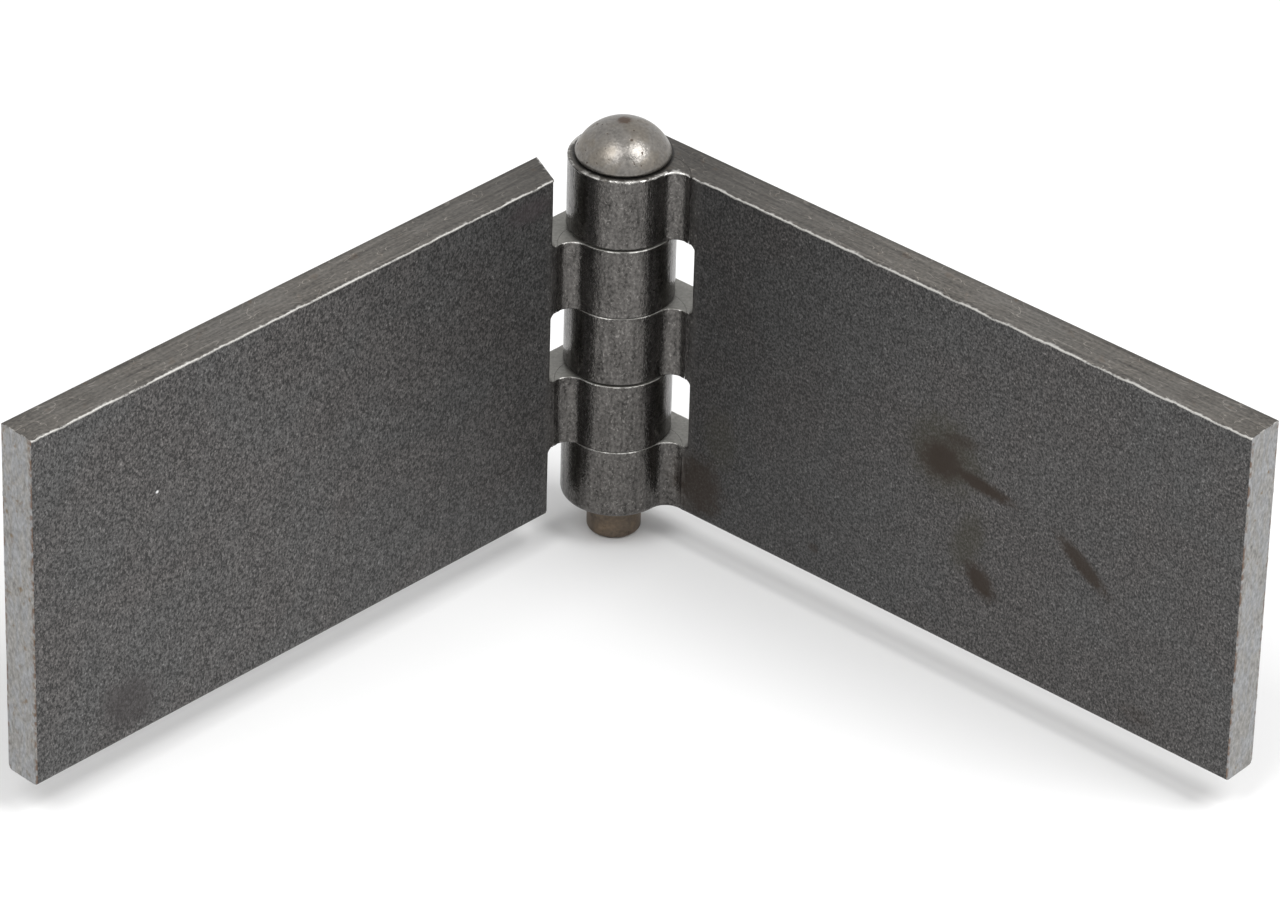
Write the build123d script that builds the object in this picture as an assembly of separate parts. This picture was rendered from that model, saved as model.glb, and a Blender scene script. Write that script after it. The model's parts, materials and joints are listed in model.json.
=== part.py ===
from build123d import *
import math
import os

# Weld-on butt hinge with a rolled barrel: two plain leaves and a loose round-head pin.
#
# Frame: the origin is the middle of the fixed leaf's flat back, which is welded down.
# +X runs along that leaf away from the barrel, +Y points out of its back, and +Z runs
# along the pin towards its head. Each leaf is first made with the pin's axis on Z.

# Leaves: flat steel strip, thinned at one end and rolled round the pin.
leaf_height = 50.0
leaf_reach = 96.5            # pin axis to the leaf's outer end
plate_thickness = 5.4
knuckle_count = 5
knuckle_wall = 3.4           # strip thickness where it is rolled
rest_opening = 94.4          # degrees between the two front faces

# Pin: round head on top, plain tail below.
pin_diameter = 7.0
head_diameter = 12.15
head_rim = 0.45              # height of the head's straight rim
dome_height = 4.1
head_underside_round = 0.3
tail_length = 5.6            # below the lowest knuckle
tail_round = 0.6

# Clearances.
bore_clearance = 0.08        # radial, between pin and knuckles
knuckle_gap = 0.18           # between neighbouring knuckles, with the leaves level
seat_gap = 0.04              # left where one piece sits on another

# Comb of slots that takes the other leaf's knuckles.
root_clearance = 3.52        # barrel to the slot's root, on the front face
root_slant = 2.3             # how much nearer to the pin the root comes at the back
slot_corner = 0.8

# Rolled end: hollow at the front, and the seam where the strip's end closes on the leaf.
web_radius = 2.2
seam_gap = 0.15
seam_setback = 0.5           # end of the hollow to the seam's mouth
shoulder_width = 2.6         # bore to the shoulder where the strip starts to thin
seam_root_angle = 52.0       # degrees round the bore from the leaf's direction

# Long edges of the strip, rounded when it was sheared.
upper_edge_round = 0.25
lower_edge_round = 0.8

bore_radius = pin_diameter / 2 + bore_clearance
barrel_radius = bore_radius + knuckle_wall
front_y = barrel_radius - plate_thickness
web_end = math.sqrt((barrel_radius + web_radius) ** 2 - (front_y - web_radius) ** 2)
knuckle_pitch = leaf_height / knuckle_count
leaf_bottom = -leaf_height / 2
swing_leaf_drop = knuckle_gap - seat_gap
overrun = 1.0                # how far cutting solids reach past the metal


def rolled_section():
    """The leaf seen along the pin: flat back, round barrel and hollow front."""
    plate = Pos(leaf_reach / 2, front_y + plate_thickness / 2)
    section = plate * Rectangle(leaf_reach, plate_thickness) + Circle(barrel_radius)
    meeting = section.vertices().sort_by_distance((barrel_radius, front_y))[0]
    return fillet(meeting, web_radius)


def round_long_edges(strip, side, radius):
    """Round the edges of the strip's bottom (side 0) or top (side -1), ends apart."""
    outline = strip.faces().sort_by(Axis.Z)[side].edges()
    sides = outline.filter_by(lambda edge: edge.center().X < leaf_reach - overrun)
    return fillet(sides, radius)


def seam():
    """The thin curved gap between the rolled end and the leaf it closes on."""
    angle = math.radians(seam_root_angle)
    inside = bore_radius - overrun
    root = (inside * math.cos(angle), inside * math.sin(angle))
    shoulder = (bore_radius + shoulder_width, bore_radius)
    mouth = (web_end + seam_setback, front_y)
    curve = ThreePointArc(root, shoulder, mouth)
    way_out = Line(curve @ 1, curve @ 1 + overrun * (curve % 1))
    gap = extrude(trace([curve, way_out], seam_gap), leaf_height + 2 * overrun)
    return Pos(0, 0, leaf_bottom - overrun) * gap


def slot(index):
    """The room for one knuckle of the other leaf, counted from the bottom."""
    bottom = leaf_bottom + index * knuckle_pitch - knuckle_gap / 2
    top = bottom + knuckle_pitch + knuckle_gap
    if index == 0:
        bottom = bottom - slot_corner - overrun
    if index == knuckle_count - 1:
        top = top + slot_corner + overrun
    slope = root_slant / plate_thickness
    start = barrel_radius + overrun
    root = barrel_radius + root_clearance + slope * (front_y + start)
    window = Polyline((-root, bottom), (root, bottom), (root, top), (-root, top), close=True)
    window = fillet(make_face(window).vertices().group_by(Axis.X)[-1], slot_corner)
    window = Plane.XZ.offset(start) * window
    return extrude(window, 2 * start * math.hypot(1, slope), dir=(-slope, 1, 0))


def leaf(slots):
    """A rolled leaf with its bore, its seam and its comb of slots."""
    body = Pos(0, 0, leaf_bottom) * extrude(rolled_section(), leaf_height)
    body = round_long_edges(body, 0, lower_edge_round)
    body = round_long_edges(body, -1, upper_edge_round)
    body -= Cylinder(bore_radius, leaf_height + 2 * overrun)
    body -= seam()
    for index in slots:
        body -= slot(index)
    return body


def pin():
    """The round-head pin, with its head's underside at Z = 0."""
    shank_radius = pin_diameter / 2
    head_radius = head_diameter / 2
    tail_end = -(seat_gap + leaf_height + tail_length)
    crown = (0, head_rim + dome_height)
    rim = (head_radius, head_rim)
    sides = Polyline(crown, (0, tail_end), (shank_radius, tail_end), (shank_radius, 0),
                     (head_radius, 0), rim)
    dome_radius = (head_radius ** 2 + dome_height ** 2) / (2 * dome_height)
    section = make_face([sides, RadiusArc(rim, crown, -dome_radius)])
    tail = section.vertices().sort_by_distance((shank_radius, tail_end))[0]
    section = fillet(tail, tail_round)
    underside = section.vertices().sort_by_distance((head_radius, 0))[0]
    section = fillet(underside, head_underside_round)
    return revolve(Plane.XZ * section, Axis.Z)


fixed_slots = range(1, knuckle_count, 2)
swing_slots = range(0, knuckle_count, 2)
pin_axis = Pos(-leaf_reach / 2, -barrel_radius, 0)
swing = Rot(0, 0, 180 - rest_opening) * Pos(0, 0, -swing_leaf_drop)

fixed_leaf = pin_axis * leaf(fixed_slots)
swing_leaf = pin_axis * swing * mirror(leaf(swing_slots), Plane.YZ)
hinge_pin = pin_axis * Pos(0, 0, leaf_height / 2 + seat_gap) * pin()

os.makedirs("parts", exist_ok=True)
export_step(fixed_leaf, "parts/fixed_leaf.step")
export_step(swing_leaf, "parts/swing_leaf.step")
export_step(hinge_pin, "parts/hinge_pin.step")
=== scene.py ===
import bmesh
import bpy
import json
import math
import random
from mathutils import Matrix, Vector, noise


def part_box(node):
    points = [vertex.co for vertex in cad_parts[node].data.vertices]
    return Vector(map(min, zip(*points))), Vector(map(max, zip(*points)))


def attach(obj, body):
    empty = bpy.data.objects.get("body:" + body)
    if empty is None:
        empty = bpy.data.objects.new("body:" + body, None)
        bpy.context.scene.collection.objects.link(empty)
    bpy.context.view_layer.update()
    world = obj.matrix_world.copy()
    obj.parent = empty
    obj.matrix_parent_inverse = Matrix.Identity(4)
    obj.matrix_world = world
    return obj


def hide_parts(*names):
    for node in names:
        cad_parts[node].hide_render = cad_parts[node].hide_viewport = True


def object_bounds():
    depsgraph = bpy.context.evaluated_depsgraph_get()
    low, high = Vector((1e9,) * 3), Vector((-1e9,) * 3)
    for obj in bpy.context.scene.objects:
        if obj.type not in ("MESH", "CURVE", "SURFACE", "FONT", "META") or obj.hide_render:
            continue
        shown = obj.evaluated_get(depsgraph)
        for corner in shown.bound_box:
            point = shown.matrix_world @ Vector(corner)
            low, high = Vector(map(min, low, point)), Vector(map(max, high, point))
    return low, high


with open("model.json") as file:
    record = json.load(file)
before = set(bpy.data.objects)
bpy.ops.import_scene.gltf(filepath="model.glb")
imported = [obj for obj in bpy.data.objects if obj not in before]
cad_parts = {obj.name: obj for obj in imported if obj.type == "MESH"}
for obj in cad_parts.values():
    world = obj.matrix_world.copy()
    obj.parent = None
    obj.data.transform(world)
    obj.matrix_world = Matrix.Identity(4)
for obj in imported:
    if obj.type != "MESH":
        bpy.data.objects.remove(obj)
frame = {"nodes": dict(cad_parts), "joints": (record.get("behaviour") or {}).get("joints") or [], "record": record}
cad_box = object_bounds()

MM = 0.001

# The photograph's view: where the camera stands round the pin's axis.
VIEW_AZIMUTH = math.radians(39.68)
VIEW_ELEVATION = math.radians(33.51)
VIEW_ROLL = math.radians(1.64)
VIEW_DISTANCE = 1.0336
VIEW_LENS = 231.15
VIEW_SIDE = 2.66 * MM
VIEW_DROP = 16.0 * MM

# Sizes of the leaf, in millimetres. On a leaf, x runs from the pin's axis to the
# outer end, y from the front to the flat back, and z up from mid-height.
REACH = 96.5
HALF_HEIGHT = 25.0
FRONT = 1.58
BACK = 6.98
BARREL = 6.98
BORE = 3.58
PITCH = 10.0
KNUCKLES = 5
NECK = 11.0                  # the rolled end lies nearer to the pin than this
SWING_DROP = 0.14            # how much lower the swing leaf hangs
SEAM_MOUTH = 9.66            # where the seam opens on the front
SEAM_SHOULDER = 2.6          # bore to the shoulder that the seam runs over
SEAM_ROOT = math.radians(52)
SEAM_HALF = 0.1              # nearer to the seam's middle than this is its wall
SEAM_SHUT = 0.75             # share of the seam's gap that the dressed leaf closes

# How a leaf's mesh is dressed, in millimetres unless said.
EDGE_BREAK = 0.13
SHARP_EDGE = math.radians(55)
SHARP_LEAF_SHADING = math.radians(50)
SHARP_PIN_SHADING = math.radians(40)
GRID_UP = 0.6
GRID_DEEP = 0.8
GRID_ALONG = 0.62
BROKEN = 1                   # marks the faces of broken edges until they get a finish

# Sizes of the pin, in millimetres.
PIN_RADIUS = 3.5
HEAD_RADIUS = 6.075
HEAD_RIM = 0.45
DOME_HEIGHT = 4.1
HEAD_ROUND = 0.3
TAIL_ROUND = 0.6
PIN_SIDES = 120
HEAD_PITS = 26

swing_joint = next(j for j in frame["joints"] if j["name"] == "leaf_swing")
PIN_AXIS = Vector(swing_joint["pos_m"])
MOUNTS = {mount["name"]: mount for mount in frame["record"]["mounts"]}


# ---------------------------------------------------------------- camera and light

def look():
    """The camera's right, up and backward directions in the photograph's view."""
    turn = Matrix.Rotation(VIEW_AZIMUTH, 3, "Z")
    away = turn @ Vector((0, math.cos(VIEW_ELEVATION), -math.sin(VIEW_ELEVATION)))
    level = turn @ Vector((1, 0, 0))
    above = level.cross(away)
    right = math.cos(VIEW_ROLL) * level + math.sin(VIEW_ROLL) * above
    up = -math.sin(VIEW_ROLL) * level + math.cos(VIEW_ROLL) * above
    return right, up, -away


def add_camera():
    """The camera, at the photograph's viewing angle."""
    right, up, back = look()
    camera = bpy.data.objects.new("camera", bpy.data.cameras.new("camera"))
    camera.data.lens = VIEW_LENS
    camera.data.sensor_width = 36
    camera.data.clip_start = 0.01
    camera.data.clip_end = 20
    place = PIN_AXIS + back * VIEW_DISTANCE + right * VIEW_SIDE - up * VIEW_DROP
    turn = Matrix((right, up, back)).transposed().to_4x4()
    camera.matrix_world = Matrix.Translation(place) @ turn
    bpy.context.scene.collection.objects.link(camera)
    bpy.context.scene.camera = camera


def add_light(name, azimuth, elevation, distance, size, power):
    """A soft square lamp, placed by angles in degrees round the pin's axis."""
    lamp = bpy.data.lights.new(name, "AREA")
    lamp.size = size
    lamp.energy = power
    turn = Matrix.Rotation(VIEW_AZIMUTH + math.radians(azimuth), 3, "Z")
    rise = math.radians(elevation)
    way = turn @ Vector((0, -math.cos(rise), math.sin(rise)))
    piece = bpy.data.objects.new(name, lamp)
    piece.location = PIN_AXIS + way * distance
    piece.rotation_euler = way.to_track_quat("Z", "Y").to_euler()
    bpy.context.scene.collection.objects.link(piece)


def set_world(level):
    """Even light of one level, with white where the background itself is seen."""
    world = bpy.data.worlds.new("studio")
    world.use_nodes = True
    nodes, links = world.node_tree.nodes, world.node_tree.links
    nodes.clear()
    out = nodes.new("ShaderNodeOutputWorld")
    path = nodes.new("ShaderNodeLightPath")
    mix = nodes.new("ShaderNodeMixShader")
    seen = path.outputs["Is Camera Ray"]
    for other in ("Is Glossy Ray", "Is Transmission Ray"):
        either = nodes.new("ShaderNodeMath")
        either.operation = "MAXIMUM"
        links.new(seen, either.inputs[0])
        links.new(path.outputs[other], either.inputs[1])
        seen = either.outputs[0]
    links.new(seen, mix.inputs["Fac"])
    for socket, strength in ((1, level), (2, 1.0)):
        light = nodes.new("ShaderNodeBackground")
        light.inputs["Color"].default_value = (1, 1, 1, 1)
        light.inputs["Strength"].default_value = strength
        links.new(light.outputs[0], mix.inputs[socket])
    links.new(mix.outputs[0], out.inputs["Surface"])
    bpy.context.scene.world = world


def add_floor():
    """A plain pale floor just under the part."""
    low = cad_box[0].z - 0.05 * MM
    bpy.ops.mesh.primitive_plane_add(size=6, location=(0, 0, low))
    floor = bpy.context.object
    floor.name = "floor"
    material = bpy.data.materials.new("floor")
    material.use_nodes = True
    shader = material.node_tree.nodes["Principled BSDF"]
    shader.inputs["Base Color"].default_value = (0.9, 0.9, 0.9, 1)
    shader.inputs["Roughness"].default_value = 0.9
    floor.data.materials.append(material)


# ---------------------------------------------------------------- materials

WARM_GREY = (0.070, 0.066, 0.064)
COOL_GREY = (0.063, 0.062, 0.061)
RUBBED_STEEL = (0.105, 0.100, 0.095)
BARE_STEEL = (0.46, 0.45, 0.43)
SHEARED_BROWN = (0.108, 0.096, 0.082)
SHEARED_GREY = (0.100, 0.096, 0.090)
CUT_GREY = (0.265, 0.258, 0.245)
CUT_BLUE = (0.225, 0.228, 0.232)
WALL_WARM = (0.27, 0.26, 0.24)
WALL_COOL = (0.22, 0.22, 0.205)
OILY_STEEL = (0.055, 0.052, 0.048)
PIN_GREY = (0.215, 0.203, 0.188)
PIN_BROWN = (0.165, 0.150, 0.130)
TAIL_BROWN = (0.115, 0.080, 0.050)

RUST_BROWN = (0.022, 0.013, 0.007)
OLIVE = (0.036, 0.032, 0.018)
EDGE_RUST = (0.085, 0.048, 0.022)
EDGE_DIRT = (0.035, 0.030, 0.024)
RUST_BLOT = (0.13, 0.075, 0.02)
RUST_LINE = (0.10, 0.045, 0.016)
# Painted shadow under the pin's head: nearly black.
HEAD_SHADOW = (0.008, 0.007, 0.006)
CROWN_BROWN = (0.075, 0.045, 0.030)
PIT_BROWN = (0.05, 0.035, 0.025)
SMUDGE = (0.040, 0.034, 0.034)
RED_SMUDGE = (0.045, 0.036, 0.038)
FAINT_SMUDGE = (0.045, 0.040, 0.038)
PALE_SPECK = (0.8, 0.8, 0.8)


class Surface:
    """One material's nodes. Its sockets stand for values, as in a formula."""

    def __init__(self, name):
        self.material = bpy.data.materials.new(name)
        self.material.use_nodes = True
        self.tree = self.material.node_tree
        self.shader = self.tree.nodes["Principled BSDF"]
        self.place = self.attribute("place", "Vector")

    def put(self, socket, value):
        """Links a socket to another, or sets it to a plain value."""
        if isinstance(value, bpy.types.NodeSocket):
            self.tree.links.new(value, socket)
        else:
            socket.default_value = value

    def add(self, kind, **settings):
        node = self.tree.nodes.new(kind)
        for key, value in settings.items():
            setattr(node, key, value)
        return node

    def attribute(self, name, output="Fac"):
        """A value kept on the mesh's points."""
        return self.add("ShaderNodeAttribute", attribute_name=name).outputs[output]

    def math(self, operation, a, b=0.0):
        node = self.add("ShaderNodeMath", operation=operation)
        self.put(node.inputs[0], a)
        self.put(node.inputs[1], b)
        return node.outputs[0]

    def plus(self, a, b):
        return self.math("ADD", a, b)

    def times(self, a, b):
        return self.math("MULTIPLY", a, b)

    def either(self, a, b):
        return self.math("MAXIMUM", a, b)

    def part(self, axis):
        """One coordinate of the place on the piece, in millimetres."""
        node = self.add("ShaderNodeSeparateXYZ")
        self.put(node.inputs[0], self.place)
        return node.outputs[axis]

    def from_axis(self):
        """Distance from the pin's axis, in millimetres."""
        flat = self.add("ShaderNodeVectorMath", operation="MULTIPLY")
        self.put(flat.inputs[0], self.place)
        self.put(flat.inputs[1], (1, 1, 0))
        node = self.add("ShaderNodeVectorMath", operation="LENGTH")
        self.put(node.inputs[0], flat.outputs[0])
        return node.outputs["Value"]

    def ramp(self, value, low, high, start=0.0, end=1.0):
        """From start to end as value goes from low to high, smoothly and no further."""
        node = self.add("ShaderNodeMapRange", interpolation_type="SMOOTHSTEP")
        for key, number in enumerate((value, low, high, start, end)):
            self.put(node.inputs[key], number)
        return node.outputs[0]

    def noise(self, per_mm, detail=2.0, stretch=(1, 1, 1), seed=0.0, turn=0.0, bend=0.0):
        """Cloudy noise from 0 to 1, about per_mm grains to the millimetre."""
        spot = self.add("ShaderNodeMapping", vector_type="POINT")
        self.put(spot.inputs["Vector"], self.place)
        self.put(spot.inputs["Location"], (seed, seed * 1.7, seed * 0.6))
        self.put(spot.inputs["Rotation"], (0, turn, 0))
        self.put(spot.inputs["Scale"], tuple(per_mm * s for s in stretch))
        node = self.add("ShaderNodeTexNoise")
        self.put(node.inputs["Vector"], spot.outputs[0])
        self.put(node.inputs["Scale"], 1.0)
        self.put(node.inputs["Detail"], detail)
        self.put(node.inputs["Distortion"], bend)
        return node.outputs[0]

    def around(self, middle, field, amount):
        """A value that noise moves up and down round a middle."""
        return self.plus(middle, self.times(self.plus(field, -0.5), amount))

    def uneven(self, *fields):
        """A brightness of about 1, moved by pairs of noise and amount."""
        level = 1.0
        for field, amount in fields:
            level = self.around(level, field, amount)
        return level

    def scratches(self, per_mm, width, stretch=(1, 1, 1), seed=0.0, turn=0.0):
        """Thin winding lines, broken into stretches."""
        field = self.noise(per_mm, 0.5, stretch, seed, turn)
        off_line = self.math("ABSOLUTE", self.plus(field, -0.5))
        gate = self.noise(per_mm * 2.5, 1.0, (1, 1, 1), seed + 31)
        return self.times(self.ramp(off_line, 0, width, 1, 0), self.ramp(gate, 0.5, 0.62))

    def spot(self, centre, radii, slope=0.0, ragged=1.0, soft=0.5, seed=0.0):
        """A ragged oval patch on the front face: centre and radii in x and z."""
        spot = self.add("ShaderNodeMapping", vector_type="TEXTURE")
        self.put(spot.inputs["Vector"], self.place)
        self.put(spot.inputs["Location"], (centre[0], FRONT, centre[1]))
        self.put(spot.inputs["Rotation"], (0, -math.radians(slope), 0))
        self.put(spot.inputs["Scale"], (radii[0], 2.2, radii[1]))
        reach = self.add("ShaderNodeVectorMath", operation="LENGTH")
        self.put(reach.inputs[0], spot.outputs[0])
        crumbs = self.noise(1.6 / math.sqrt(min(radii)), 3.0, seed=seed)
        reach = self.around(reach.outputs["Value"], crumbs, ragged)
        return self.ramp(reach, 1 - soft, 1 + soft, 1, 0)

    def mix(self, factor, a, b):
        node = self.add("ShaderNodeMix", data_type="RGBA")
        for key, value in ((0, factor), (6, a), (7, b)):
            if isinstance(value, tuple):
                value = (*value, 1)
            self.put(node.inputs[key], value)
        return node.outputs[2]

    def shade(self, color, level):
        """A colour times a brightness."""
        node = self.add("ShaderNodeVectorMath", operation="SCALE")
        self.put(node.inputs[0], color)
        self.put(node.inputs["Scale"], level)
        return node.outputs[0]

    def wear(self, color, grain, low, high, most=1.0):
        """The colour with bare steel where edges are rubbed, and where that is."""
        rubbed = self.plus(self.attribute("worn"), self.times(self.plus(grain, -0.5), 0.8))
        bare = self.ramp(rubbed, low, high, 0.0, most)
        return self.mix(bare, color, BARE_STEEL), bare

    def bump(self, height, depth_mm):
        node = self.add("ShaderNodeBump")
        self.put(node.inputs["Height"], height)
        self.put(node.inputs["Distance"], depth_mm * MM)
        self.put(self.shader.inputs["Normal"], node.outputs[0])

    def finish(self, color, roughness, metallic):
        self.put(self.shader.inputs["Base Color"], color)
        self.put(self.shader.inputs["Roughness"], roughness)
        self.put(self.shader.inputs["Metallic"], metallic)
        return self.material


def rolled_skin(name, marks, seed, lit_level):
    """Black mill scale on the leaf, rubbed to steel where the knuckles are rolled, with painted shade towards the
    barrel and a painted light level for the whole leaf.
    """
    s = Surface(name)
    along = s.part("X")
    rolled = s.ramp(along, 9.0, 12.0, 1, 0)
    grain = s.noise(3.6, 2.0, (1, 1, 0.75), seed)
    fine = s.noise(6.5, 1.0, (1, 1, 0.6), seed + 5)
    patches = s.noise(0.07, 3.0, seed=seed + 9, bend=0.6)
    clouds = s.noise(0.35, 3.0, seed=seed + 2)
    flecks = s.ramp(s.noise(4.2, 1.0, (1, 1, 0.7), seed + 14), 0.62, 0.74)
    hairs = s.scratches(0.8, 0.02, (1.3, 1, 0.5), seed + 3, turn=0.35)
    hairs = s.either(hairs, s.scratches(0.5, 0.012, (1.6, 1, 0.4), seed + 21, turn=-0.5))
    level = s.uneven((grain, 5.2), (fine, 2.0), (patches, 0.5), (clouds, 0.35))
    level = s.plus(level, s.times(flecks, 1.6))
    level = s.plus(level, s.times(hairs, 1.0))
    # Painted shade and light: the scale darkens towards the barrel, in the crease between the two leaves, and the
    # last argument brightens or darkens each leaf's copy as painted light.
    level = s.times(level, s.ramp(along, 8.0, 60.0, 0.66 * lit_level, lit_level))
    level = s.either(level, 0.25)
    scale = s.shade(s.mix(s.ramp(patches, 0.35, 0.65), WARM_GREY, COOL_GREY), level)

    streaks = s.noise(1.0, 3.0, (1.2, 1.2, 0.16), seed + 40)
    specks = s.noise(3.0, 2.5, (1, 1, 0.7), seed + 44)
    nicks = s.scratches(0.9, 0.02, (1.4, 1.4, 0.5), seed + 46)
    rub = s.uneven((streaks, 1.5), (specks, 2.2))
    rub = s.plus(rub, s.times(nicks, 1.1))
    rub = s.plus(rub, s.times(flecks, 0.9))
    barrel = s.shade(RUBBED_STEEL, s.either(rub, 0.3))
    color = s.mix(rolled, scale, barrel)

    stained = 0.0
    for number, (stain, centre, radii, slope, strength) in enumerate(marks):
        mask = s.times(s.spot(centre, radii, slope, seed=seed + number * 3.1), strength)
        color = s.mix(mask, color, stain)
        stained = s.either(stained, mask)

    color, bare = s.wear(color, grain, 0.35, 0.8)
    s.bump(s.plus(grain, s.times(fine, 0.4)), 0.035)
    rough = s.around(s.ramp(rolled, 0, 1, 0.55, 0.24), clouds, 0.25)
    rough = s.plus(rough, s.times(stained, 0.12))
    return s.finish(color, rough, s.either(s.ramp(rolled, 0, 1, 0.35, 1.0), bare))


def sheared_edge(name, seed):
    """The strip's sheared long edges: brownish steel with lengthwise drag marks, painted shade towards the barrel
    and a painted shadow round the pin's head.
    """
    s = Surface(name)
    drag = s.noise(1.0, 3.0, (0.10, 2.2, 1), seed)
    grit = s.noise(2.6, 3.0, (0.7, 1, 1), seed + 4)
    clouds = s.noise(0.16, 3.0, seed=seed + 8)
    marks = s.scratches(0.30, 0.012, (1, 2, 1), seed + 3)
    marks = s.either(marks, s.scratches(0.21, 0.008, (1, 3, 1), seed + 17))
    level = s.uneven((drag, 1.6), (grit, 1.8), (clouds, 0.9))
    level = s.either(s.plus(level, s.times(marks, 1.6)), 0.3)
    color = s.shade(s.mix(clouds, SHEARED_BROWN, SHEARED_GREY), level)
    # Painted shade: the top edges darken towards the barrel, in the crease between the two leaves.
    color = s.shade(color, s.ramp(s.part("X"), 8.0, 45.0, 0.6, 1.0))
    # Painted shadow: close round the pin the top faces go nearly black, as under the pin's head.
    head_shadow = s.ramp(s.from_axis(), 6.2, 6.5, 1, 0)
    color = s.mix(s.times(head_shadow, 0.9), color, HEAD_SHADOW)
    back = s.ramp(s.part("Y"), 5.9, 6.9)
    rust = s.ramp(s.noise(0.5, 4.0, seed=seed + 33), 0.60, 0.72)
    rust = s.times(rust, s.plus(s.times(back, 0.6), 0.25))
    color = s.mix(rust, color, EDGE_RUST)
    color = s.mix(s.times(back, 0.45), color, EDGE_DIRT)
    color, bare = s.wear(color, grit, 0.35, 0.8)
    s.bump(s.plus(drag, s.times(grit, 0.5)), 0.05)
    return s.finish(color, s.around(0.44, grit, 0.3), s.ramp(bare, 0, 1, 0.55, 0.95))


def fresh_cut(name, rusty, seed):
    """The outer end, cut last: pale steel with rust specks and bluish smudges."""
    s = Surface(name)
    grain = s.noise(2.4, 3.0, (1, 1.3, 0.7), seed)
    smudge = s.noise(0.55, 3.0, (1, 1.4, 0.5), seed + 3, bend=0.8)
    tint = s.mix(s.ramp(smudge, 0.4, 0.6), CUT_GREY, CUT_BLUE)
    color = s.shade(tint, s.uneven((grain, 1.5), (smudge, 1.2)))
    blots = s.noise(0.8, 4.0, (1, 1.2, 1), seed + 12)
    blots = s.ramp(blots, 0.66 - 0.08 * rusty, 0.78)
    color = s.mix(s.times(blots, 0.9), color, RUST_BLOT)
    front = s.ramp(s.part("Y"), FRONT + 0.15, FRONT + 0.75, 1, 0)
    back = s.ramp(s.part("Y"), BACK - 0.6, BACK - 0.1)
    crumbs = s.noise(1.1, 4.0, (1, 1, 1), seed + 20)
    line = s.either(s.times(front, s.ramp(crumbs, 0.42, 0.6)),
                    s.times(back, s.ramp(crumbs, 0.5, 0.62)))
    color = s.mix(s.times(line, 0.85), color, RUST_LINE)
    color, bare = s.wear(color, grain, 0.4, 0.9, most=0.5)
    s.bump(grain, 0.03)
    return s.finish(color, s.around(0.42, smudge, 0.3), 0.5)


def slot_wall(name, seed):
    """Milled sides of the slots and the knuckles' faces: clean pale grey steel."""
    s = Surface(name)
    grain = s.noise(2.8, 3.0, (1, 1, 1), seed)
    clouds = s.noise(0.5, 3.0, seed=seed + 3)
    level = s.uneven((grain, 0.8), (clouds, 0.8))
    color = s.shade(s.mix(clouds, WALL_WARM, WALL_COOL), level)
    color, bare = s.wear(color, grain, 0.4, 0.85)
    s.bump(grain, 0.03)
    return s.finish(color, s.around(0.42, clouds, 0.3), 0.5)


def dark_bore(name, seed):
    """Inside the bore and the seam: oily dark steel."""
    s = Surface(name)
    rings = s.noise(1.0, 3.0, (0.4, 0.4, 3.0), seed)
    s.bump(rings, 0.02)
    color = s.shade(OILY_STEEL, s.uneven((rings, 0.9)))
    return s.finish(color, s.around(0.36, rings, 0.3), 0.7)


def pin_steel(name, seed):
    """Plain forged steel: warm grey with brown blooms, dark pits and a duller tail."""
    s = Surface(name)
    grain = s.noise(2.6, 3.0, seed=seed)
    bloom = s.noise(0.34, 3.0, seed=seed + 4, bend=0.5)
    level = s.uneven((grain, 0.9), (bloom, 1.2))
    color = s.shade(s.mix(s.ramp(bloom, 0.4, 0.62), PIN_GREY, PIN_BROWN), level)
    brown = s.plus(s.attribute("spot"), s.times(s.plus(grain, -0.5), 0.9))
    brown = s.ramp(brown, 0.3, 0.75)
    color = s.mix(s.times(brown, 0.8), color, CROWN_BROWN)
    pits = s.ramp(s.noise(1.7, 1.0, seed=seed + 8), 0.70, 0.76)
    color = s.mix(s.times(pits, 0.8), color, PIT_BROWN)
    tail = s.ramp(s.part("Z"), -27.0, -24.5, 1, 0)
    blotchy = s.times(level, s.plus(s.times(bloom, 1.6), 0.2))
    color = s.mix(s.times(tail, 0.8), color, s.shade(TAIL_BROWN, blotchy))
    s.bump(s.plus(grain, s.times(pits, -0.7)), 0.03)
    rough = s.plus(s.around(0.32, bloom, 0.25), s.times(tail, 0.15))
    rough = s.plus(rough, s.times(s.either(brown, pits), 0.2))
    return s.finish(color, rough, s.ramp(tail, 0, 1, 0.92, 0.6))


# ---------------------------------------------------------------- leaves

# The order of a leaf's finishes in its mesh.
SKIN, EDGE, END, WALL, INNER = range(5)


class LeafFrame:
    """Turns scene coordinates into a leaf's own millimetres, and back."""

    def __init__(self, key, drop):
        self.origin = PIN_AXIS - Vector((0, 0, drop * MM))
        self.along = Vector(MOUNTS[key + "_leaf_end_face"]["axis"]).normalized()
        self.out = Vector(MOUNTS[key + "_leaf_weld_face"]["axis"]).normalized()

    def local(self, point):
        return self.local_way(point - self.origin) / MM

    def local_way(self, way):
        return Vector((way.dot(self.along), way.dot(self.out), way.z))

    def world(self, spot):
        step = self.along * spot.x + self.out * spot.y + Vector((0, 0, spot.z))
        return self.origin + step * MM


def wave(x, z, size, seed):
    """Smooth noise from -1 to 1 over the leaf's surface."""
    return noise.noise(Vector((x / size, z / size, seed)))


def circle_through(a, b, c):
    """Centre and radius of the circle through three flat points."""
    ab, ac = b - a, c - a
    twice = 2 * (ab.x * ac.y - ab.y * ac.x)
    x = (ac.y * ab.length_squared - ab.y * ac.length_squared) / twice
    y = (ab.x * ac.length_squared - ac.x * ab.length_squared) / twice
    return a + Vector((x, y)), math.hypot(x, y)


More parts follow.
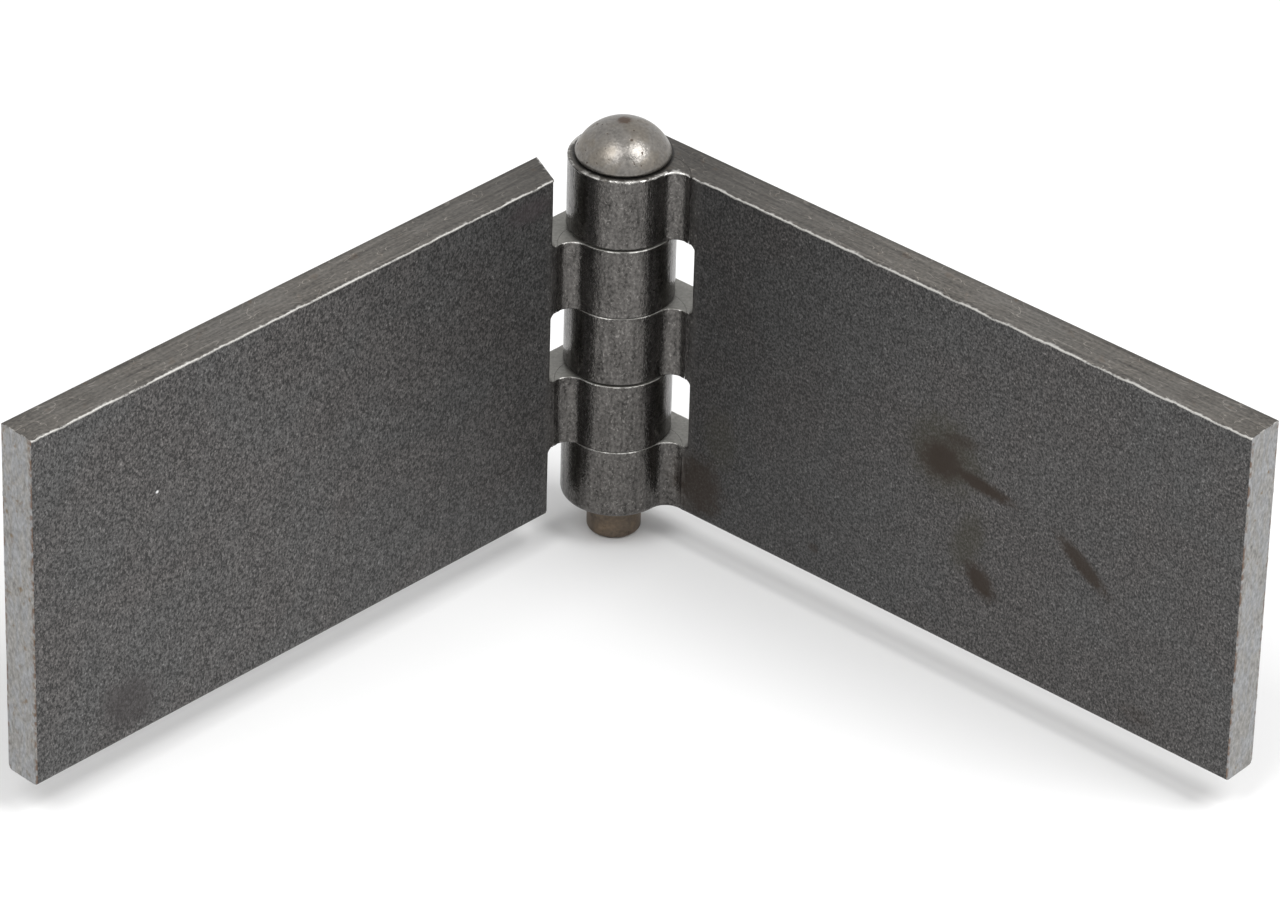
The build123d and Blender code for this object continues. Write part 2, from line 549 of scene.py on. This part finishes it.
SEAM_CENTRE, SEAM_RADIUS = circle_through(
    Vector((BORE - 1, 0)) @ Matrix.Rotation(-SEAM_ROOT, 2),
    Vector((BORE + SEAM_SHOULDER, BORE)), Vector((SEAM_MOUTH, FRONT)))


def off_seam(spot):
    """How far a point is from the middle of the seam, as signed millimetres."""
    if not 1.4 < spot.x < SEAM_MOUTH + 0.3 or spot.y < FRONT - 0.15:
        return math.inf
    return (spot.xy - SEAM_CENTRE).length - SEAM_RADIUS


def near_seam(spot):
    """Whether a point lies in the closing seam or in the bore."""
    return spot.xy.length < BORE + 0.05 or abs(off_seam(spot)) < SEAM_HALF


def break_edges(bm, own):
    """Breaks every sharp edge, apart from the seam's and the bore's."""
    sharp = []
    for edge in bm.edges:
        if not edge.is_manifold or edge.calc_face_angle(0) < SHARP_EDGE:
            continue
        if not any(near_seam(own.local(vert.co)) for vert in edge.verts):
            sharp.append(edge)
    bmesh.ops.bevel(bm, geom=sharp, offset=EDGE_BREAK * MM, segments=2, profile=0.5,
                    affect="EDGES", clamp_overlap=False, material=BROKEN)


def slices(start, end, step, extra=()):
    """Evenly spaced places from start to end, with some extra ones."""
    count = int((end - start) / step)
    return sorted({round(start + i * step, 3) for i in range(count + 1)} | set(extra))


def cut(bm, at, way):
    bmesh.ops.bisect_plane(bm, geom=bm.verts[:] + bm.edges[:] + bm.faces[:], dist=1e-7,
                           plane_co=at, plane_no=way)


def cut_grid(bm, own):
    """Cuts every face into a fine grid, closer along the rims and the top edge.

    The last digits keep the cuts off the corners that the leaf has already.
    """
    rims = [k * PITCH - HALF_HEIGHT for k in range(KNUCKLES + 1)]
    beside = [rim + step for rim in rims for step in (-0.45, -0.25, 0.25, 0.45)]
    for height in slices(-24.9, 24.9, GRID_UP, beside) + [24.3, 24.42, 24.54, 24.66]:
        cut(bm, own.world(Vector((0, 0, height + 0.0013))), Vector((0, 0, 1)))
    for depth in slices(-6.6, 6.6, GRID_DEEP, [FRONT + 0.25, BACK - 0.25]):
        cut(bm, own.world(Vector((0, depth + 0.0017, 0))), own.out)
    for reach in slices(-6.6, 96.2, GRID_ALONG, [10.8, 8.5, 96.3]):
        cut(bm, own.world(Vector((reach + 0.0019, 0, 0))), own.along)


def leaf_mesh(node, own):
    """The CAD leaf with broken edges, cut into a fine grid."""
    bm = bmesh.new()
    bm.from_mesh(frame["nodes"][node].data)
    bmesh.ops.remove_doubles(bm, verts=bm.verts, dist=1e-6)
    bmesh.ops.dissolve_limit(bm, angle_limit=math.radians(0.3), verts=bm.verts,
                             edges=bm.edges)
    break_edges(bm, own)
    cut_grid(bm, own)
    return bm


def region(own, face):
    """Which finish a face has, from where it lies and which way it looks."""
    spot = own.local(face.calc_center_median())
    way = own.local_way(face.normal)
    radius = math.hypot(spot.x, spot.y)
    if radius < BORE + 0.02:
        return INNER
    if near_seam(spot) and abs((spot.xy - SEAM_CENTRE).normalized().dot(way.xy)) > 0.7:
        return INNER
    if spot.x > REACH - 0.3 and way.x > 0.6:
        return END
    if abs(way.z) > 0.6:
        return EDGE if abs(spot.z) > HALF_HEIGHT - 0.6 else WALL
    if 7.5 < spot.x < NECK and way.x < -0.5 and FRONT < spot.y < BACK and radius > BARREL:
        return WALL
    return SKIN


def rim_wear(spot, way, radius, broken, seed):
    """How bare the steel is on a broken edge, and on the rim of the top knuckle."""
    amount = 0.0
    if broken:
        lively = 0.55 + 0.75 * wave(spot.x * 1.1 + spot.y, spot.z, 1.3, seed)
        amount = lively * (0.95 if way.z > 0.15 else 0.42)
    outside = BARREL - 0.5 < radius < BARREL + 0.1 and (spot.x < 0 or spot.y < 0.5)
    if spot.z > HALF_HEIGHT - 0.45 and outside:
        lively = 0.55 + 0.6 * wave(spot.x, spot.y, 1.5, seed + 2)
        amount = max(amount, lively * (1 - (HALF_HEIGHT - spot.z) / 0.6))
    return amount


def burr(spot, seed):
    """How far the ragged burr of the front top edge stands out, 1 being its most."""
    if spot.z < HALF_HEIGHT - 0.9 or spot.y > FRONT + 0.45 or spot.x < BARREL:
        return 0.0
    drop = 0.16 + 0.22 * wave(spot.x, 0, 3.1, seed) + 0.14 * wave(spot.x, 0, 0.9, seed + 5)
    off_line = spot.z - (HALF_HEIGHT - drop)
    strength = 0.95 + 0.5 * wave(spot.x, 0, 7.0, seed + 9)
    ridge = math.exp(-(off_line / 0.2) ** 2) * strength
    return ridge * (1.0 - 0.7 * max(0.0, (spot.y - FRONT) / 0.45))


def sunk(spot, seed, dents):
    """How deep a point on a side lies under the flat face, from waves and dents."""
    depth = 0.0
    rim = (spot.z - HALF_HEIGHT) % PITCH
    if min(rim, PITCH - rim) > 0.3:
        depth += 0.022 * (1 + wave(spot.x, spot.z, 6.0, seed + 3))
        depth += 0.010 * (1 + wave(spot.x, spot.z, 1.7, seed + 7))
    for centre, radii, deepest, slope in dents:
        step = Vector((spot.x - centre[0], spot.z - centre[1]))
        turned = Matrix.Rotation(-math.radians(slope), 2) @ step
        far = (turned.x / radii[0]) ** 2 + (turned.y / radii[1]) ** 2
        if far < 4 and spot.y < FRONT + 0.3:
            depth += deepest * math.exp(-far * 1.6)
    return depth


def shape_leaf(bm, own, seed, dents):
    """Gives the leaf its uneven surface, burr, dents and worn edges."""
    worn = bm.verts.layers.float.new("worn")
    place = bm.verts.layers.float_vector.new("place")
    bm.normal_update()
    for vert in bm.verts:
        spot = own.local(vert.co)
        way = own.local_way(vert.normal)
        vert[place] = spot
        radius = math.hypot(spot.x, spot.y)
        if radius < BORE + 0.1:
            continue
        gap = off_seam(spot)
        if abs(gap) < SEAM_HALF:
            across = (spot.xy - SEAM_CENTRE).normalized().to_3d()
            vert.co = own.world(spot - across * gap * SEAM_SHUT * min(1.0, radius - BORE))
            continue
        broken = any(face.material_index == BROKEN for face in vert.link_faces)
        ridge = burr(spot, seed)
        move = Vector((0, -0.10 * ridge, 0))
        if abs(way.z) < 0.5:
            move -= way * sunk(spot, seed, dents)
        amount = max(ridge, rim_wear(spot, way, radius, broken, seed))
        vert[worn] = min(1.0, amount)
        vert.co = own.world(spot + move)


def add_piece(bm, name, materials, sharp):
    """Makes a piece of a mesh, smooth apart from edges sharper than an angle."""
    for face in bm.faces:
        face.smooth = True
    for edge in bm.edges:
        edge.smooth = edge.calc_face_angle(0) < sharp
    mesh = bpy.data.meshes.new(name)
    bm.to_mesh(mesh)
    bm.free()
    for material in materials:
        mesh.materials.append(material)
    piece = bpy.data.objects.new(name, mesh)
    bpy.context.scene.collection.objects.link(piece)
    return piece


def add_leaf(node, piece_name, key, drop, seed, materials, dents):
    own = LeafFrame(key, drop)
    bm = leaf_mesh(node, own)
    shape_leaf(bm, own, seed, dents)
    for face in bm.faces:
        face.material_index = region(own, face)
    return add_piece(bm, piece_name, materials, SHARP_LEAF_SHADING)


# ---------------------------------------------------------------- pin

def quarter(steps, first=0):
    """The sine and cosine of even steps through a quarter turn."""
    angles = [math.radians(90 * i / steps) for i in range(first, steps + 1)]
    return [(math.sin(angle), math.cos(angle)) for angle in angles]


def pin_profile(bottom):
    """Radius and height from the crown down to the middle of the tail's end."""
    ball = (HEAD_RADIUS ** 2 + DOME_HEIGHT ** 2) / (2 * DOME_HEIGHT)
    middle = HEAD_RIM + DOME_HEIGHT - ball
    widest = math.atan2(HEAD_RADIUS, HEAD_RIM - middle)
    dome_rows, shank_rows = 44, 60
    rows = []
    for i in range(1, dome_rows + 1):
        angle = widest * i / dome_rows
        rows.append((ball * math.sin(angle), middle + ball * math.cos(angle)))
    for sine, cosine in quarter(6):
        rows.append((HEAD_RADIUS - HEAD_ROUND * (1 - cosine), HEAD_ROUND * (1 - sine)))
    rows += [(4.6, 0.0), (PIN_RADIUS, 0.0)]
    for i in range(1, shank_rows + 1):
        rows.append((PIN_RADIUS, (bottom + TAIL_ROUND) * i / shank_rows))
    for sine, cosine in quarter(8, first=1):
        rows.append((PIN_RADIUS - TAIL_ROUND * (1 - cosine), bottom + TAIL_ROUND * (1 - sine)))
    return rows + [(2.2, bottom), (1.4, bottom), (0.7, bottom)]


def turned_mesh(rows, crown, bottom):
    """A closed turned shape through the profile's rows, with its axis on Z."""
    bm = bmesh.new()
    top = bm.verts.new((0, 0, crown))
    rings = []
    for radius, height in rows:
        rings.append([bm.verts.new((radius * math.cos(math.tau * k / PIN_SIDES),
                                    radius * math.sin(math.tau * k / PIN_SIDES), height))
                      for k in range(PIN_SIDES)])
    end = bm.verts.new((0, 0, bottom))
    for k in range(PIN_SIDES):
        after = (k + 1) % PIN_SIDES
        bm.faces.new((top, rings[0][k], rings[0][after]))
        bm.faces.new((end, rings[-1][after], rings[-1][k]))
        for upper, lower in zip(rings, rings[1:]):
            bm.faces.new((upper[k], lower[k], lower[after], upper[after]))
    bm.normal_update()
    return bm


def head_pits():
    """Small pits over the head: centre, radius and depth."""
    draw = random.Random(7)
    pits = []
    for i in range(HEAD_PITS):
        angle = draw.uniform(0, math.tau)
        reach = HEAD_RADIUS * math.sqrt(draw.uniform(0, 0.9))
        pits.append((Vector((reach * math.cos(angle), reach * math.sin(angle))),
                     draw.uniform(0.12, 0.32), draw.uniform(0.02, 0.06)))
    return pits


def add_pin(material):
    """The pin, with a lumpy pitted head and a slightly uneven tail."""
    low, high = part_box("hinge_pin")
    crown = HEAD_RIM + DOME_HEIGHT
    seat = high.z / MM - crown
    bottom = low.z / MM - seat
    bm = turned_mesh(pin_profile(bottom), crown, bottom)
    pits = head_pits()
    brown = bm.verts.layers.float.new("spot")
    place = bm.verts.layers.float_vector.new("place")
    brown_middle = Vector((-math.sin(VIEW_AZIMUTH), math.cos(VIEW_AZIMUTH))) * 0.5
    for vert in bm.verts:
        spot = vert.co.copy()
        flat = spot.xy
        vert[place] = spot + Vector((0, 0, HALF_HEIGHT))
        if spot.z > 0.2:
            sink = 0.03 * (0.5 + 0.5 * noise.noise(spot * 0.45))
            for centre, reach, depth in pits:
                sink += depth * math.exp(-((flat - centre).length / reach) ** 2)
            vert.co -= vert.normal * sink
            vert[brown] = math.exp(-((flat - brown_middle).length / 1.1) ** 2)
        elif spot.z < -HALF_HEIGHT * 2:
            vert.co -= vert.normal * 0.05 * (0.5 + 0.5 * noise.noise(spot * 0.5))
        vert.co = PIN_AXIS + (vert.co + Vector((0, 0, seat))) * MM
    return add_piece(bm, "round_head_pin", [material], SHARP_PIN_SHADING)


# ---------------------------------------------------------------- the scene

# Stains on the front faces: colour, centre and radii in x and z, slope in degrees,
# and strength.
FIXED_MARKS = [
    (OLIVE, (51.4, 2.4), (5.4, 5.0), 0, 0.55),
    (RUST_BROWN, (50.8, 1.4), (3.2, 2.6), 20, 0.95),
    (RUST_BROWN, (53.6, 5.4), (2.4, 1.0), 10, 0.6),
    (RUST_BROWN, (57.2, 0.4), (4.6, 1.0), -6, 0.95),
    (OLIVE, (55.4, -8.5), (2.0, 4.5), -20, 0.5),
    (RUST_BROWN, (57.6, -13.4), (2.6, 1.7), -40, 0.95),
    (RUST_BROWN, (73.0, -4.0), (4.4, 1.2), -34, 0.92),
    (RUST_BROWN, (12.5, -19.8), (3.6, 4.2), 0, 0.75),
    (RUST_BROWN, (31.3, -20.6), (0.8, 0.6), 0, 0.5),
    (RUST_BROWN, (82.4, -21.8), (2.4, 1.2), 0, 0.3),
    (OLIVE, (15.8, -11.4), (2.5, 4.0), 0, 0.3),
]
SWING_MARKS = [
    (SMUDGE, (81.4, -19.6), (4.6, 3.2), 25, 0.6),
    (RED_SMUDGE, (14.6, 22.0), (3.4, 1.6), 0, 0.6),
    (FAINT_SMUDGE, (45.7, -7.3), (1.6, 1.2), 0, 0.3),
    (PALE_SPECK, (76.7, 8.8), (0.22, 0.2), 0, 1.0),
]

# Shallow dents under the stains: centre, radii, depth, and slope in degrees.
FIXED_DENTS = [
    ((73.0, -4.0), (4.0, 0.9), 0.12, -34),
    ((57.6, -13.4), (2.2, 1.4), 0.05, -40),
    ((51.0, 1.5), (2.6, 2.2), 0.05, 20),
]
SWING_DENTS = [
    ((81.4, -19.6), (4.0, 2.6), 0.05, 25),
]

add_camera()
set_world(0.6)
add_floor()
add_light("key_left", -38, 57, 1.2, 0.6, 5.5)
add_light("key_right", 60, 55, 1.2, 0.6, 9)

edge_finish = sheared_edge("sheared_edge", 11)
wall_finish = slot_wall("slot_wall", 23)
bore_finish = dark_bore("dark_bore", 29)
# The last number given to rolled_skin is each leaf's painted light level: the fixed leaf's scale is painted darker
# as painted shade.
fixed = add_leaf("fixed_leaf", "fixed_leaf_steel", "fixed", 0.0, 3.0,
                 [rolled_skin("fixed_leaf_scale", FIXED_MARKS, 3.0, 0.80), edge_finish,
                  fresh_cut("fixed_leaf_end", 0.0, 41), wall_finish, bore_finish],
                 FIXED_DENTS)
swing = add_leaf("swing_leaf", "swing_leaf_steel", "swing", SWING_DROP, 57.0,
                 [rolled_skin("swing_leaf_scale", SWING_MARKS, 57.0, 0.93), edge_finish,
                  fresh_cut("swing_leaf_end", 1.0, 67), wall_finish, bore_finish],
                 SWING_DENTS)
pin = add_pin(pin_steel("pin_steel", 5.0))

for piece, node, slot in ((fixed, "fixed_leaf", "leaf_steel"),
                          (swing, "swing_leaf", "leaf_steel"),
                          (pin, "hinge_pin", "pin_steel")):
    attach(piece, node)
    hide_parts(node)

bpy.context.scene.view_settings.view_transform = "Standard"
